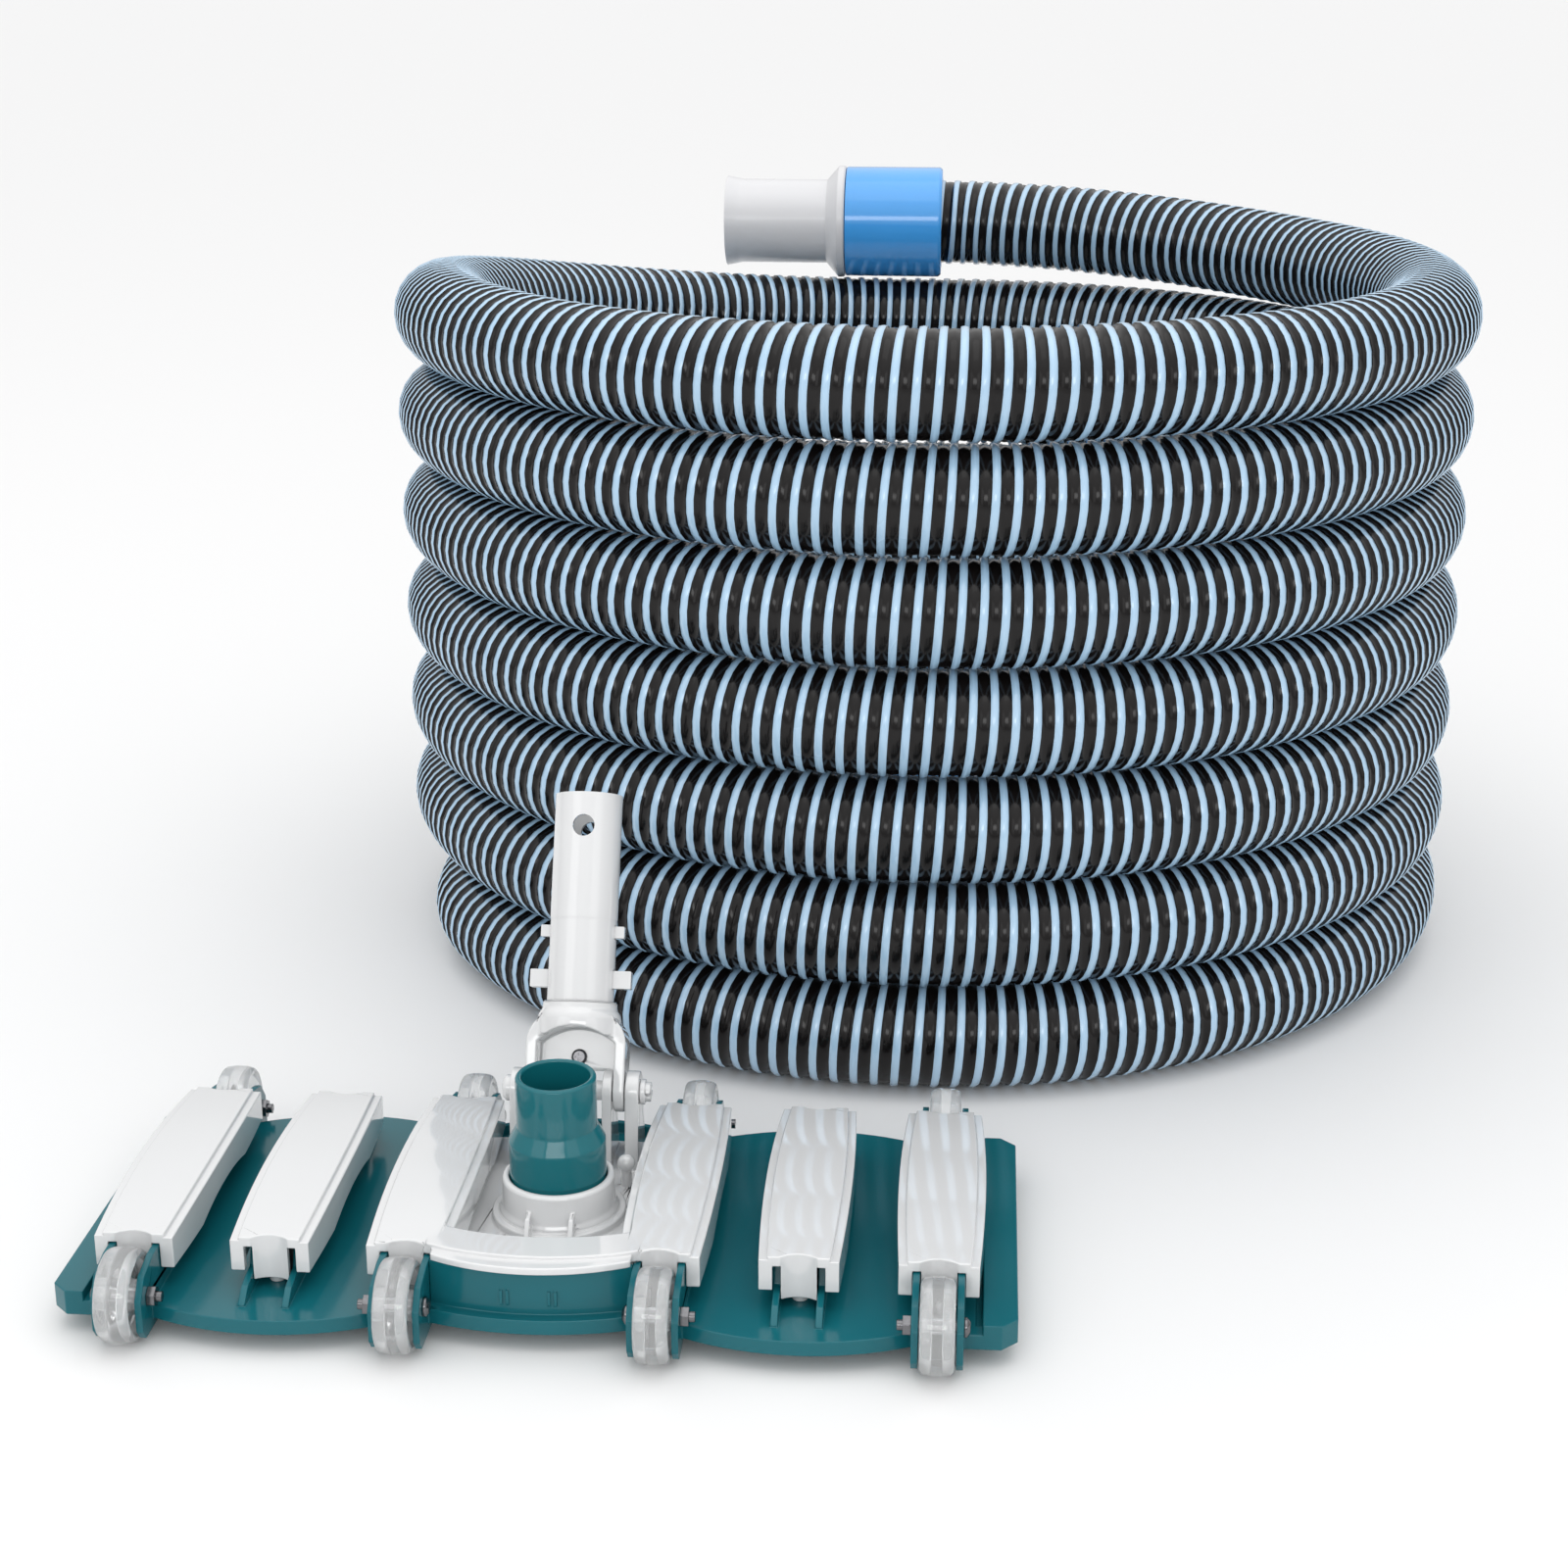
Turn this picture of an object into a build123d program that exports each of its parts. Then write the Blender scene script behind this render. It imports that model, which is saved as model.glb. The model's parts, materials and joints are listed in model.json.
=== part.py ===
"""Swimming-pool vacuum head: flexible weighted plate on eight wheels, with a swivelling hose
connector, a tilting pole handle and a coiled suction hose that stands behind it.

Millimetres. The origin is on the floor under the middle of the eight wheels, +X to the right
along the wide plate, +Y from the front edge towards the handle and the hose, +Z up.
"""

import math
import os

from build123d import *

os.makedirs("parts", exist_ok=True)

# Plate and ribs
PLATE_HALF_X = 181.0
PLATE_END_Y = 77.0
PLATE_BOTTOM = 7.0
PLATE_THICK = 6.0
PLATE_TOP = PLATE_BOTTOM + PLATE_THICK
CORNER_CHAMFER = 6.0
SCALLOP_Y = 86.5
CENTRE_FRONT_Y = 79.0
CENTRE_BACK_Y = 87.0
END_BAR_WIDTH = 13.0
END_BAR_HEIGHT = 4.0
GROOVE_WIDTH = 2.5
GROOVE_DEPTH = 1.5
OUTER_RIB_X = 151.5
MIDDLE_RIB_X = 99.6
INNER_RIB_X = 47.75

# Wheels and their forks
WHEEL_RADIUS = 18.0
WHEEL_WIDTH = 13.0
HUB_RADIUS = 5.6
RIM_INSIDE = 14.2
WEB_HALF = 1.7
AXLE_Y = 80.0
AXLE_Z = WHEEL_RADIUS
FORK_GAP = 14.0
RAIL_THICK = 2.6
RAIL_OFFSET = FORK_GAP / 2 + RAIL_THICK / 2
RAIL_TOP = 30.5
BOLT_RADIUS = 2.0
BOLT_HOLE = 2.05
FORK_NOTCH_Y = 58.0

# Rib covers
COVER_HALF_LENGTH = 64.0
COVER_END_HALF = 15.0
COVER_MID_HALF = 17.0
COVER_BOTTOM = 21.0
COVER_END_TOP = 35.0
COVER_ARCH = 3.0
COVER_ROOF = 3.0
COVER_WALL = 3.4
LEDGE_WIDTH = 3.3
LEDGE_DROP = 1.4
NOTCH_RADIUS = 11.0
NOTCH_DEPTH = 2.6
SCREW_Y = 54.5

# Screws
SCREW_RADIUS = 1.5
SCREW_HEAD = 3.1
THREAD_HOLE = 1.55
SCREW_HOLE = 1.7
BASE_PLATE_THICK = 2.5

# Hub and hose connector
THROAT_RADIUS = 16.2
UPPER_RADIUS = 31.75 / 2
LOWER_RADIUS = 38.1 / 2
JOURNAL_RADIUS = LOWER_RADIUS - 0.25
JOURNAL_TOP = 34.8
CONNECTOR_WALL = 2.5
CONNECTOR_TOP = 76.0
COLLAR_TOP = 34.0
COLLAR_GAP = 0.35
COLLAR_RADIUS = 22.5
FLANGE_RADIUS = 25.5
CUP_RADIUS = 23.0

# Handle
PIVOT_Y = 50.0
PIVOT_Z = 46.0
HANDLE_LEAN = 27.0
HANDLE_LENGTH = 122.0
HANDLE_RADIUS = 14.0
HANDLE_FOOT_RADIUS = 13.8
POLE_SEAT_FROM_END = 52.0
HANDLE_WALL = 2.4
PIN_RADIUS = 4.0
PIN_CLEARANCE = 0.05
ARM_INNER_X = 16.0
ARM_OUTER_X = 20.5
LUG_RADIUS = 8.5
LOCK_HOLE_RADIUS = 4.5
LOCK_HOLE_FROM_END = 14.0

# Hose
HOSE_DIAMETER = 49.0
HOSE_INNER_RADIUS = 19.05
COIL_RADIUS = 244.0
COIL_X = 133.5
COIL_Y = 409.0
COIL_TURNS = 7
CUFF_LIFT = 8.0
SLEEVE_RADIUS = 31.5
SLEEVE_LENGTH = 56.0
CUFF_BORE = 19.15


ON_BASE = (Align.CENTER, Align.CENTER, Align.MIN)
RIB_PLACES = (-OUTER_RIB_X, -MIDDLE_RIB_X, -INNER_RIB_X, INNER_RIB_X, MIDDLE_RIB_X, OUTER_RIB_X)
COVER_NUMBERS = {1: -OUTER_RIB_X, 2: -MIDDLE_RIB_X, 5: MIDDLE_RIB_X, 6: OUTER_RIB_X}
COVER_SCREW_SPOTS = [(x, y) for x in COVER_NUMBERS.values() for y in (-SCREW_Y, SCREW_Y)]
BASE_SCREW_SPOTS = [(x, y) for x in (-31, 31) for y in (-40, 0, 40)]


def finish(builder, name):
    """Label a finished piece and write its STEP file."""
    builder.part.label = name
    export_step(builder.part, f"parts/{name}.step")


def at_height(spots, z):
    """Lift a list of (x, y) places to one height."""
    return [(x, y, z) for x, y in spots]


def turned_piece(frame, profile):
    """Revolve a closed (radius, distance) profile about a frame's z axis."""
    with BuildPart(mode=Mode.PRIVATE) as piece:
        with BuildSketch(Plane(origin=frame.origin, x_dir=frame.x_dir, z_dir=-frame.y_dir)):
            with BuildLine():
                Polyline(*profile, close=True)
            make_face()
        revolve(axis=Axis(frame.origin, frame.z_dir))
    return piece.part


# ---------------------------------------------------------------- flexible plate


def plate_outline():
    """Outline of the plate: straight ends, and arcs that bulge between the wheel forks."""
    fork_out = OUTER_RIB_X + RAIL_OFFSET + RAIL_THICK / 2
    fork_in = OUTER_RIB_X - RAIL_OFFSET - RAIL_THICK / 2
    inner_out = INNER_RIB_X + RAIL_OFFSET + RAIL_THICK / 2
    inner_in = INNER_RIB_X - RAIL_OFFSET - RAIL_THICK / 2
    end_y = PLATE_END_Y
    corner = CORNER_CHAMFER
    with BuildSketch(Plane.XY, mode=Mode.PRIVATE) as outline:
        with BuildLine():
            for side in (-1, 1):
                Polyline(
                    (side * PLATE_HALF_X, 0),
                    (side * PLATE_HALF_X, -end_y + corner),
                    (side * (PLATE_HALF_X - corner), -end_y),
                    (side * fork_out, -end_y),
                    (side * fork_in, -end_y),
                )
                ThreePointArc(
                    (side * fork_in, -end_y),
                    (side * MIDDLE_RIB_X, -SCALLOP_Y),
                    (side * inner_out, -end_y),
                )
                Line((side * inner_out, -end_y), (side * inner_in, -end_y + 4))
                Polyline(
                    (side * PLATE_HALF_X, 0),
                    (side * PLATE_HALF_X, end_y - corner),
                    (side * (PLATE_HALF_X - corner), end_y),
                    (side * fork_out, end_y),
                    (side * fork_in, end_y),
                )
                ThreePointArc(
                    (side * fork_in, end_y),
                    (side * MIDDLE_RIB_X, SCALLOP_Y),
                    (side * inner_out, end_y),
                )
                Line((side * inner_out, end_y), (side * inner_in, end_y))
            ThreePointArc((-inner_in, -end_y + 4), (0, -CENTRE_FRONT_Y), (inner_in, -end_y + 4))
            ThreePointArc((-inner_in, end_y), (0, CENTRE_BACK_Y), (inner_in, end_y))
        make_face()
    return outline.sketch


def fork_rail_profile():
    """Side view of a rail that ends in a wheel fork's ear at both ends, as (y, z) points."""
    half = [
        (58, PLATE_BOTTOM),
        (64, 3.5),
        (86, 3.5),
        (89, 7.5),
        (89, 20),
        (83, 27.5),
        (71, RAIL_TOP),
    ]
    return half + [(-y, z) for y, z in reversed(half)]


def plain_rail_profile():
    """Side view of a rail under a rib without wheels, sloping to the plate at both ends."""
    half = [
        (77, PLATE_BOTTOM + 1),
        (77, PLATE_TOP + 0.8),
        (71, PLATE_TOP + 5.5),
        (64.5, COVER_BOTTOM - 1.2),
        (58.5, COVER_BOTTOM - 0.6),
        (54, RAIL_TOP),
    ]
    return half + [(-y, z) for y, z in reversed(half)]


outline = plate_outline()

with BuildPart() as flex_plate:
    with BuildSketch(Plane.XY.offset(PLATE_BOTTOM)):
        add(outline)
    extrude(amount=PLATE_THICK)
    # raised bumper bar along each end, cut to the plate's outline
    for side in (-1, 1):
        with BuildSketch(Plane.XY.offset(PLATE_TOP)):
            add(outline)
            with Locations((side * (PLATE_HALF_X - END_BAR_WIDTH / 2), 0)):
                Rectangle(END_BAR_WIDTH, 3 * PLATE_END_Y, mode=Mode.INTERSECT)
        extrude(amount=END_BAR_HEIGHT)
    groove_x = PLATE_HALF_X - END_BAR_WIDTH - GROOVE_WIDTH / 2
    with Locations((-groove_x, 0, PLATE_TOP), (groove_x, 0, PLATE_TOP)):
        Box(GROOVE_WIDTH, 2 * PLATE_END_Y - 14, 2 * GROOVE_DEPTH, mode=Mode.SUBTRACT)
    # throat for the hub, and a slot for each wheel
    with Locations((0, 0, PLATE_TOP)):
        Cylinder(CUP_RADIUS + 4, 4 * PLATE_THICK, mode=Mode.SUBTRACT)
    slot_length = 2 * (CENTRE_BACK_Y - FORK_NOTCH_Y)
    for x in (-OUTER_RIB_X, -INNER_RIB_X, INNER_RIB_X, OUTER_RIB_X):
        for side in (-1, 1):
            with Locations((x, side * (FORK_NOTCH_Y + slot_length / 2), PLATE_TOP)):
                Box(FORK_GAP, slot_length, 4 * PLATE_THICK, mode=Mode.SUBTRACT)
    # rails under the six ribs; four of them carry on as the ears of the wheel forks
    for x in RIB_PLACES:
        forked = abs(x) != MIDDLE_RIB_X
        for side in (-1, 1):
            with BuildSketch(Plane.YZ.offset(x + side * RAIL_OFFSET)):
                with BuildLine():
                    Polyline(*(fork_rail_profile() if forked else plain_rail_profile()), close=True)
                make_face()
            extrude(amount=RAIL_THICK / 2, both=True)
        if forked:
            with Locations((x, -AXLE_Y, AXLE_Z), (x, AXLE_Y, AXLE_Z)):
                Cylinder(BOLT_HOLE, 30, rotation=(0, 90, 0), mode=Mode.SUBTRACT)
    # front skirt under the bridge of the centre frame, and a low wall along the back
    with BuildSketch(Plane.XY.offset(PLATE_TOP)):
        with BuildLine():
            ThreePointArc((-38, -68), (0, -74.5), (38, -68))
            Polyline((38, -68), (38, -65.5))
            ThreePointArc((38, -65.5), (0, -72), (-38, -65.5))
            Polyline((-38, -65.5), (-38, -68))
        make_face()
    extrude(amount=18)
    with BuildSketch(Plane.XY.offset(PLATE_TOP)):
        with BuildLine():
            ThreePointArc((-37, 70), (0, 79), (37, 70))
            Polyline((37, 70), (37, 72.5))
            ThreePointArc((37, 72.5), (0, 81.5), (-37, 72.5))
            Polyline((-37, 72.5), (-37, 70))
        make_face()
    extrude(amount=5)
    # two pairs of small clip ridges on the skirt
    for x in (-10.2, -7.8, 7.8, 10.2):
        with Locations((x, -74.2, PLATE_TOP + 7)):
            Box(1.0, 1.6, 6)
    # screw holes for the rib covers and for the base clamp
    with Locations(*at_height(COVER_SCREW_SPOTS + BASE_SCREW_SPOTS, PLATE_TOP)):
        Cylinder(SCREW_HOLE, 4 * PLATE_THICK, mode=Mode.SUBTRACT)

finish(flex_plate, "flex_plate")

# ---------------------------------------------------------------- rib covers


def barrel_face(inset, half_length):
    """Plan of a rib: two straight ends joined by two bowed sides, inset all round."""
    end_half = COVER_END_HALF - inset
    mid_half = COVER_MID_HALF - inset
    with BuildSketch(Plane.XY, mode=Mode.PRIVATE) as face:
        with BuildLine():
            ThreePointArc((end_half, -half_length), (mid_half, 0), (end_half, half_length))
            Line((end_half, half_length), (-end_half, half_length))
            ThreePointArc((-end_half, half_length), (-mid_half, 0), (-end_half, -half_length))
            Line((-end_half, -half_length), (end_half, -half_length))
        make_face()
    return face.sketch


def arched_block(face, bottom, drop, x):
    """Extrude a plan upwards and trim its top to the rib's arch, lowered by drop."""
    reach = COVER_HALF_LENGTH + 20
    end_z = COVER_END_TOP - drop
    sag = COVER_ARCH * (reach / COVER_HALF_LENGTH) ** 2 - COVER_ARCH
    with BuildPart(mode=Mode.PRIVATE) as block:
        with BuildSketch(Plane.XY.offset(bottom)):
            with Locations((x, 0)):
                add(face)
        extrude(amount=60)
        with BuildSketch(Plane.YZ.offset(x)):
            with BuildLine():
                ThreePointArc((-reach, end_z - sag), (0, end_z + COVER_ARCH), (reach, end_z - sag))
                Polyline((reach, end_z - sag), (reach, -5), (-reach, -5), (-reach, end_z - sag))
            make_face()
        extrude(amount=60, both=True, mode=Mode.INTERSECT)
    return block.part


def rib_shell(x):
    """A hollow rib with a stepped edge along its top and a shallow notch in each end."""
    with BuildPart(mode=Mode.PRIVATE) as shell:
        add(arched_block(barrel_face(0, COVER_HALF_LENGTH), COVER_BOTTOM, LEDGE_DROP, x))
        add(arched_block(barrel_face(LEDGE_WIDTH, COVER_HALF_LENGTH), COVER_BOTTOM, 0, x))
        add(
            arched_block(
                barrel_face(COVER_WALL, COVER_HALF_LENGTH - COVER_WALL), COVER_BOTTOM - 9, COVER_ROOF, x
            ),
            mode=Mode.SUBTRACT,
        )
        # shallow plan notch over each wheel
        for side in (-1, 1):
            with Locations((x, side * (COVER_HALF_LENGTH + NOTCH_RADIUS - NOTCH_DEPTH), COVER_END_TOP)):
                Cylinder(NOTCH_RADIUS, 60, mode=Mode.SUBTRACT)
        # long shallow relief under both side walls
        with BuildSketch(Plane.YZ.offset(x)):
            with BuildLine():
                ThreePointArc((-34, COVER_BOTTOM - 1), (0, COVER_BOTTOM + 4), (34, COVER_BOTTOM - 1))
                Line((34, COVER_BOTTOM - 1), (-34, COVER_BOTTOM - 1))
            make_face()
        extrude(amount=30, both=True, mode=Mode.SUBTRACT)
    return shell.part


def add_apron(x, side):
    """Curved wall between the two rail slots in the end of a rib, just clear of a wheel."""
    centre_y = side * (COVER_HALF_LENGTH + NOTCH_RADIUS - NOTCH_DEPTH)
    with BuildPart(mode=Mode.PRIVATE) as apron:
        with BuildSketch(Plane.XY.offset(COVER_BOTTOM - 4)):
            with Locations((x, centre_y)):
                Circle(NOTCH_RADIUS + 2.4)
                Circle(NOTCH_RADIUS, mode=Mode.SUBTRACT)
            with Locations((x, side * (COVER_HALF_LENGTH - 3))):
                Rectangle(FORK_GAP - 0.6, 12, mode=Mode.INTERSECT)
        extrude(amount=COVER_END_TOP - COVER_ROOF - COVER_BOTTOM + 5)
    add(apron.part)


def end_openings(x, width, top):
    """Cut the middle of both end walls away, below the roof."""
    for side in (-1, 1):
        with Locations((x, side * COVER_HALF_LENGTH, top - 20)):
            Box(width, 3 * COVER_WALL, 40, mode=Mode.SUBTRACT)


rail_slot = FORK_GAP + 2 * RAIL_THICK + 0.6

for number, x in COVER_NUMBERS.items():
    with BuildPart() as rib_cover:
        add(rib_shell(x))
        end_openings(x, rail_slot, COVER_END_TOP - COVER_ROOF - 1.0)
        for side in (-1, 1):
            add_apron(x, side)
        # screw posts inside, standing on the plate
        with Locations((x, -SCREW_Y, PLATE_TOP), (x, SCREW_Y, PLATE_TOP)):
            Cylinder(3.2, 20, align=ON_BASE)
        with Locations((x, -SCREW_Y, PLATE_TOP), (x, SCREW_Y, PLATE_TOP)):
            Cylinder(THREAD_HOLE, 28, mode=Mode.SUBTRACT)
    finish(rib_cover, f"rib_cover_{number}")

# ---------------------------------------------------------------- centre frame


def handle_lug(x_low, x_high):
    """One round-topped lug of the handle's bracket."""
    with BuildSketch(Plane.YZ.offset(x_low)) as lug:
        with BuildLine():
            back = PIVOT_Y + LUG_RADIUS
            front = PIVOT_Y - LUG_RADIUS
            ThreePointArc((front, PIVOT_Z), (PIVOT_Y, PIVOT_Z + LUG_RADIUS), (back, PIVOT_Z))
            Polyline(
                (back, PIVOT_Z),
                (PIVOT_Y + 13, PLATE_TOP + 1),
                (PIVOT_Y - 13, PLATE_TOP + 1),
                (front, PIVOT_Z),
            )
        make_face()
    extrude(lug.sketch, amount=x_high - x_low)


with BuildPart() as centre_frame:
    for x in (-INNER_RIB_X, INNER_RIB_X):
        add(rib_shell(x))
        end_openings(x, rail_slot, COVER_END_TOP - COVER_ROOF - 1.0)
        for side in (-1, 1):
            add_apron(x, side)
    # curved bridge that joins the two ribs along the front
    with BuildSketch(Plane.XY.offset(COVER_END_TOP - COVER_ROOF - 1)):
        with BuildLine():
            ThreePointArc((-40, -COVER_HALF_LENGTH), (0, -71.5), (40, -COVER_HALF_LENGTH))
            Line((40, -COVER_HALF_LENGTH), (40, -48))
            ThreePointArc((40, -48), (0, -56), (-40, -48))
            Line((-40, -48), (-40, -COVER_HALF_LENGTH))
        make_face()
    extrude(amount=COVER_ROOF + 1.6)
    # front lip over the skirt
    with BuildSketch(Plane.XY.offset(COVER_END_TOP - COVER_ROOF - 1)):
        with BuildLine():
            ThreePointArc((-37.5, -COVER_HALF_LENGTH - 5), (0, -77.6), (37.5, -COVER_HALF_LENGTH - 5))
            Line((37.5, -COVER_HALF_LENGTH - 5), (37.5, -COVER_HALF_LENGTH + 2))
            ThreePointArc((37.5, -COVER_HALF_LENGTH + 2), (0, -70), (-37.5, -COVER_HALF_LENGTH + 2))
            Line((-37.5, -COVER_HALF_LENGTH + 2), (-37.5, -COVER_HALF_LENGTH - 5))
        make_face()
    extrude(amount=COVER_ROOF)
    # inner wall of the bridge down to the floor
    with BuildSketch(Plane.XY.offset(PLATE_TOP)):
        with BuildLine():
            ThreePointArc((-35, -51.5), (0, -58.5), (35, -51.5))
            Line((35, -51.5), (35, -49))
            ThreePointArc((35, -49), (0, -56), (-35, -49))
            Line((-35, -49), (-35, -51.5))
        make_face()
    extrude(amount=COVER_END_TOP - PLATE_TOP - 2)
    # floor between the ribs, with side walls that meet the ribs' inner walls
    with BuildSketch(Plane.XY.offset(PLATE_TOP)):
        with Locations((0, 6)):
            RectangleRounded(74, 118, 4)
    extrude(amount=3)
    for side in (-1, 1):
        with Locations((side * 35.2, 2, PLATE_TOP)):
            Box(2.4, 104, COVER_BOTTOM - PLATE_TOP + 6, align=ON_BASE)
    # hub: cup below, flange ring, tapered collar
    with Locations((0, 0, PLATE_BOTTOM + 1)):
        Cylinder(CUP_RADIUS + 3.5, PLATE_THICK + 2, align=ON_BASE)
    with Locations((0, 0, PLATE_TOP + 2)):
        Cylinder(FLANGE_RADIUS + 1, 4, align=ON_BASE)
    with BuildSketch(Plane.XZ):
        with BuildLine():
            Polyline(
                (0, PLATE_TOP),
                (COLLAR_RADIUS + 1.2, PLATE_TOP),
                (COLLAR_RADIUS + 1.2, PLATE_TOP + 7),
                (COLLAR_RADIUS, PLATE_TOP + 9),
                (COLLAR_RADIUS - 0.3, COLLAR_TOP - 1),
                (COLLAR_RADIUS - 1.3, COLLAR_TOP),
                (0, COLLAR_TOP),
                close=True,
            )
        make_face()
    revolve(axis=Axis.Z)
    # stiffening fins between the hub and the bridge
    for x in (-8.5, 8.5):
        with BuildSketch(Plane.YZ.offset(x - 0.9)):
            with BuildLine():
                Polyline(
                    (-20, PLATE_TOP),
                    (-20, PLATE_TOP + 14),
                    (-25, PLATE_TOP + 13),
                    (-33, PLATE_TOP + 2),
                    (-33, PLATE_TOP),
                    close=True,
                )
            make_face()
        extrude(amount=1.8)
    # domed boss beside the bracket
    with Locations((23.5, 25, PLATE_TOP)):
        Cylinder(2.2, 11, align=ON_BASE)
    with Locations((23.5, 25, PLATE_TOP + 13)):
        Sphere(3.6)
    # clevis lugs of the handle bracket
    for low, high in ((-26.5, -21.0), (-15.5, -11.5), (11.5, 15.5), (21.0, 26.5)):
        handle_lug(low, high)
    # bores: swivel cup, collar, pivot pin, screws
    with Locations((0, 0, PLATE_BOTTOM)):
        Cylinder(CUP_RADIUS, 10.6, align=ON_BASE, mode=Mode.SUBTRACT)
    Cylinder(LOWER_RADIUS + COLLAR_GAP, 100, mode=Mode.SUBTRACT)
    with Locations((0, PIVOT_Y, PIVOT_Z)):
        Cylinder(PIN_RADIUS + PIN_CLEARANCE, 80, rotation=(0, 90, 0), mode=Mode.SUBTRACT)
    with Locations(*at_height(BASE_SCREW_SPOTS, PLATE_BOTTOM)):
        Cylinder(THREAD_HOLE, 17.2, mode=Mode.SUBTRACT)

finish(centre_frame, "centre_frame")

# ---------------------------------------------------------------- base clamp and its screws

base_bottom = PLATE_BOTTOM - BASE_PLATE_THICK
head_depth = 1.6

with BuildPart() as bottom_plate:
    with BuildSketch(Plane.XY.offset(base_bottom)):
        RectangleRounded(72, 100, 8)
        Circle(THROAT_RADIUS, mode=Mode.SUBTRACT)
    extrude(amount=BASE_PLATE_THICK)
    with Locations(*at_height(BASE_SCREW_SPOTS, PLATE_BOTTOM)):
        Cylinder(SCREW_HOLE, 20, mode=Mode.SUBTRACT)
    with Locations(*at_height(BASE_SCREW_SPOTS, base_bottom)):
        Cone(SCREW_HEAD + 0.1, SCREW_HOLE, head_depth, align=ON_BASE, mode=Mode.SUBTRACT)
finish(bottom_plate, "bottom_plate")


def screw_group(spots, head_z, tip_z):
    """Countersunk screws driven upwards, heads flush at head_z."""
    for x, y in spots:
        with Locations((x, y, head_z)):
            Cone(SCREW_HEAD, SCREW_RADIUS, head_depth, align=ON_BASE)
            Cylinder(SCREW_RADIUS, tip_z - head_z, align=ON_BASE)
            Box(0.8, 3.4, head_depth, mode=Mode.SUBTRACT)
            Box(3.4, 0.8, head_depth, mode=Mode.SUBTRACT)


with BuildPart() as base_screws:
    screw_group(BASE_SCREW_SPOTS, base_bottom, PLATE_TOP + 2.4)
finish(base_screws, "base_screws")

with BuildPart() as cover_screws:
    screw_group(COVER_SCREW_SPOTS, PLATE_BOTTOM - head_depth, PLATE_TOP + 11)
finish(cover_screws, "cover_screws")

# ---------------------------------------------------------------- ballast bars

for number, x in enumerate(RIB_PLACES, start=1):
    with BuildPart() as ballast_bar:
        with Locations((x, 0, PLATE_TOP)):
            Box(FORK_GAP - 1.4, 98, 15, align=ON_BASE)
        chamfer(ballast_bar.edges().filter_by(Axis.Z), 1.5)
    finish(ballast_bar, f"ballast_bar_{number}")

# ---------------------------------------------------------------- wheels, axle bolts, nuts

WHEEL_PLACES = [
    (name, side * x, end * AXLE_Y)
    for name, side, x, end in (
        ("wheel_front_far_left", -1, OUTER_RIB_X, -1),
        ("wheel_front_left", -1, INNER_RIB_X, -1),
        ("wheel_front_right", 1, INNER_RIB_X, -1),
        ("wheel_front_far_right", 1, OUTER_RIB_X, -1),
        ("wheel_rear_far_left", -1, OUTER_RIB_X, 1),
        ("wheel_rear_left", -1, INNER_RIB_X, 1),
        ("wheel_rear_right", 1, INNER_RIB_X, 1),
        ("wheel_rear_far_right", 1, OUTER_RIB_X, 1),
    )
]

for name, x, y in WHEEL_PLACES:
    half = WHEEL_WIDTH / 2
    with BuildPart() as wheel:
        with BuildSketch(Plane(origin=(x, y, AXLE_Z), x_dir=(0, 0, 1), z_dir=(0, 1, 0))):
            # the sketch's first axis is the radius, its second runs along the axle
            with BuildLine():
                Polyline(
                    (BOLT_RADIUS + PIN_CLEARANCE, -half),
                    (HUB_RADIUS, -half),
                    (HUB_RADIUS + 0.8, -WEB_HALF),
                    (RIM_INSIDE - 0.6, -WEB_HALF),
                    (RIM_INSIDE, -half),
                    (WHEEL_RADIUS - 2.2, -half),
                )
                ThreePointArc((WHEEL_RADIUS - 2.2, -half), (WHEEL_RADIUS, 0), (WHEEL_RADIUS - 2.2, half))
                Polyline(
                    (WHEEL_RADIUS - 2.2, half),
                    (RIM_INSIDE, half),
                    (RIM_INSIDE - 0.6, WEB_HALF),
                    (HUB_RADIUS + 0.8, WEB_HALF),
                    (HUB_RADIUS, half),
                    (BOLT_RADIUS + PIN_CLEARANCE, half),
                    (BOLT_RADIUS + PIN_CLEARANCE, -half),
                )
            make_face()
        revolve(axis=Axis((x, y, AXLE_Z), (1, 0, 0)))
    finish(wheel, name)

fork_outside = FORK_GAP / 2 + RAIL_THICK


def nut_side(x):
    """Direction in which a bolt's nut faces: inwards on the outer ribs, outwards on the inner ones."""
    towards = 1 if x < 0 else -1
    return towards if abs(x) == OUTER_RIB_X else -towards


with BuildPart() as axle_bolts:
    for _, x, y in WHEEL_PLACES:
        way = nut_side(x)
        along = Plane(origin=(x - way * fork_outside, y, AXLE_Z), z_dir=(way, 0, 0))
        with BuildSketch(along):
            Circle(BOLT_RADIUS)
        extrude(amount=2 * fork_outside + 5.4)
        with BuildSketch(along):
            Circle(3.7)
        extrude(amount=-1.2)
        with BuildSketch(along.offset(-1.2)):
            Circle(3.7)
        extrude(amount=-1.2, taper=50)
finish(axle_bolts, "axle_bolts")

with BuildPart() as axle_nuts:
    for _, x, y in WHEEL_PLACES:
        way = nut_side(x)
        with BuildSketch(Plane(origin=(x + way * fork_outside, y, AXLE_Z), z_dir=(way, 0, 0))):
            RegularPolygon(3.5, 6, major_radius=False)
            Circle(BOLT_HOLE, mode=Mode.SUBTRACT)
        extrude(amount=3.2)
finish(axle_nuts, "axle_nuts")

# ---------------------------------------------------------------- swivel connector

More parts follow.
